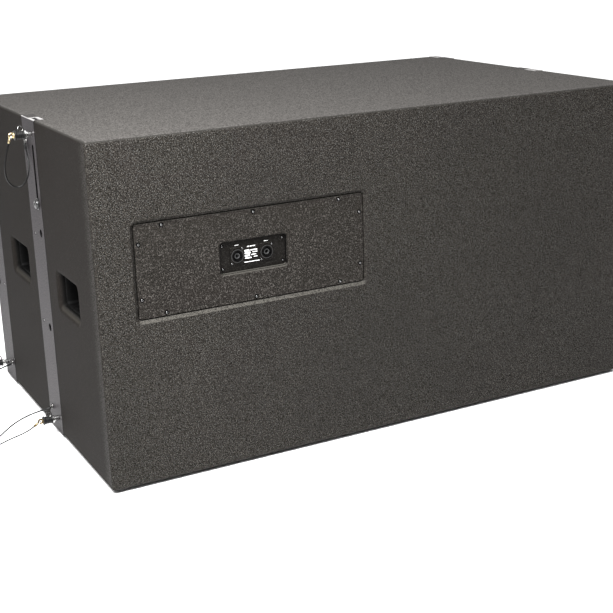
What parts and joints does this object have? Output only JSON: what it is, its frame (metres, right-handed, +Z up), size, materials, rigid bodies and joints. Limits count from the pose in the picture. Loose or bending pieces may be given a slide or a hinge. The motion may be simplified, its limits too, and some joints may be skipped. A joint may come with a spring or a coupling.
{
  "type": "line array speaker",
  "caption": "Rectangular line array bass cabinet with flush side rigging rails, sliding link bars, quick-release pins on wire lanyards, hand holds and a rear input recess.",
  "frame": {"origin": "middle of the footprint, on the floor under the feet", "axes": "+Z up, -Y out of the front grille, +Y out of the rear face with the input recess, +X towards the end that the input recess is nearer to"},
  "size_m": [1.3878, 0.694, 0.606],
  "materials": {
    "cabinet_paint": "plywood under a coarse sprayed polyurea coating, matt dark grey",
    "cover_paint": "fine textured powder coat, matt dark grey",
    "socket_plate_paint": "smooth satin powder coat, near black",
    "rail_paint": "satin grey powder coat",
    "zinc_steel": "zinc plated flat bar",
    "black_steel": "black oxide steel",
    "pin_plastic": "moulded grip on a steel shank",
    "lanyard_coating": "plastic coated wire",
    "foot_rubber": "moulded rubber",
    "cup_plastic": "moulded, fine grain",
    "black_plastic": "moulded satin black",
    "plywood": "birch plywood, bare",
    "grille_steel": "perforated steel sheet, black powder coat",
    "foam": "open cell acoustic foam",
    "cast_alloy": "cast, black paint",
    "motor_steel": "ferrite ring between steel plates",
    "cone_paper": "pressed paper pulp",
    "surround_cloth": "treated cloth"
  },
  "bodies": {
    "cabinet": {"top_panel": "cabinet_paint", "bottom_panel": "cabinet_paint", "rear_panel": "cabinet_paint", "baffle": "plywood", "front_grille": "grille_steel", "grille_foam": "foam", "access_cover": "cover_paint", "input_dish": "cover_paint", "socket_plate": "socket_plate_paint", "socket_outer": "black_plastic", "socket_inner": "black_plastic", "side_panel_right": "cabinet_paint", "port_wall_right": "plywood", "handle_cup_rear_right": "cup_plastic", "handle_cup_front_right": "cup_plastic", "foot_rear_right": "foot_rubber", "foot_front_right": "foot_rubber", "driver_basket_right": "cast_alloy", "driver_motor_right": "motor_steel", "driver_surround_right": "surround_cloth", "rail_rear_right": "rail_paint", "lanyard_upper_rear_right": "lanyard_coating", "lanyard_lower_rear_right": "lanyard_coating", "rail_front_right": "rail_paint", "lanyard_upper_front_right": "lanyard_coating", "lanyard_lower_front_right": "lanyard_coating", "side_panel_left": "cabinet_paint", "port_wall_left": "plywood", "handle_cup_rear_left": "cup_plastic", "handle_cup_front_left": "cup_plastic", "foot_rear_left": "foot_rubber", "foot_front_left": "foot_rubber", "driver_basket_left": "cast_alloy", "driver_motor_left": "motor_steel", "driver_surround_left": "surround_cloth", "rail_rear_left": "rail_paint", "lanyard_upper_rear_left": "lanyard_coating", "lanyard_lower_rear_left": "lanyard_coating", "rail_front_left": "rail_paint", "lanyard_upper_front_left": "lanyard_coating", "lanyard_lower_front_left": "lanyard_coating"},
    "cone_right": {"driver_cone_right": "cone_paper"},
    "link_rear_right": {"link_bar_rear_right": "zinc_steel", "guide_bolt_rear_right": "black_steel"},
    "pin_upper_rear_right": {"pin_upper_rear_right": "pin_plastic"},
    "pin_lower_rear_right": {"pin_lower_rear_right": "pin_plastic"},
    "link_front_right": {"link_bar_front_right": "zinc_steel", "guide_bolt_front_right": "black_steel"},
    "pin_upper_front_right": {"pin_upper_front_right": "pin_plastic"},
    "pin_lower_front_right": {"pin_lower_front_right": "pin_plastic"},
    "cone_left": {"driver_cone_left": "cone_paper"},
    "link_rear_left": {"link_bar_rear_left": "zinc_steel", "guide_bolt_rear_left": "black_steel"},
    "pin_upper_rear_left": {"pin_upper_rear_left": "pin_plastic"},
    "pin_lower_rear_left": {"pin_lower_rear_left": "pin_plastic"},
    "link_front_left": {"link_bar_front_left": "zinc_steel", "guide_bolt_front_left": "black_steel"},
    "pin_upper_front_left": {"pin_upper_front_left": "pin_plastic"},
    "pin_lower_front_left": {"pin_lower_front_left": "pin_plastic"}
  },
  "joints": [
    {"name": "cone_right_excursion", "type": "slide", "parent": "cabinet", "child": "cone_right", "axis": [0, -1, 0], "range_m": [-0.008, 0.008], "stiffness_N_per_m": 6000, "deforming": ["driver_surround_right"]},
    {"name": "link_rear_right_lift", "type": "slide", "parent": "cabinet", "child": "link_rear_right", "axis": [0, 0, 1], "range_m": [0, 0.102]},
    {"name": "pin_upper_rear_right_pull", "type": "slide", "parent": "cabinet", "child": "pin_upper_rear_right", "axis": [1, 0, 0], "range_m": [-0.0095, 0.05], "deforming": ["lanyard_upper_rear_right"]},
    {"name": "pin_lower_rear_right_pull", "type": "slide", "parent": "cabinet", "child": "pin_lower_rear_right", "axis": [1, 0, 0], "range_m": [-0.0095, 0.05], "deforming": ["lanyard_lower_rear_right"]},
    {"name": "link_front_right_lift", "type": "slide", "parent": "cabinet", "child": "link_front_right", "axis": [0, 0, 1], "range_m": [0, 0.102]},
    {"name": "pin_upper_front_right_pull", "type": "slide", "parent": "cabinet", "child": "pin_upper_front_right", "axis": [1, 0, 0], "range_m": [-0.0095, 0.05], "deforming": ["lanyard_upper_front_right"]},
    {"name": "pin_lower_front_right_pull", "type": "slide", "parent": "cabinet", "child": "pin_lower_front_right", "axis": [1, 0, 0], "range_m": [-0.0095, 0.05], "deforming": ["lanyard_lower_front_right"]},
    {"name": "cone_left_excursion", "type": "slide", "parent": "cabinet", "child": "cone_left", "axis": [0, -1, 0], "range_m": [-0.008, 0.008], "stiffness_N_per_m": 6000, "deforming": ["driver_surround_left"]},
    {"name": "link_rear_left_lift", "type": "slide", "parent": "cabinet", "child": "link_rear_left", "axis": [0, 0, 1], "range_m": [0, 0.102]},
    {"name": "pin_upper_rear_left_pull", "type": "slide", "parent": "cabinet", "child": "pin_upper_rear_left", "axis": [-1, 0, 0], "range_m": [-0.0095, 0.05], "deforming": ["lanyard_upper_rear_left"]},
    {"name": "pin_lower_rear_left_pull", "type": "slide", "parent": "cabinet", "child": "pin_lower_rear_left", "axis": [-1, 0, 0], "range_m": [-0.0095, 0.05], "deforming": ["lanyard_lower_rear_left"]},
    {"name": "link_front_left_lift", "type": "slide", "parent": "cabinet", "child": "link_front_left", "axis": [0, 0, 1], "range_m": [0, 0.102]},
    {"name": "pin_upper_front_left_pull", "type": "slide", "parent": "cabinet", "child": "pin_upper_front_left", "axis": [-1, 0, 0], "range_m": [-0.0095, 0.05], "deforming": ["lanyard_upper_front_left"]},
    {"name": "pin_lower_front_left_pull", "type": "slide", "parent": "cabinet", "child": "pin_lower_front_left", "axis": [-1, 0, 0], "range_m": [-0.0095, 0.05], "deforming": ["lanyard_lower_front_left"]}
  ]
}
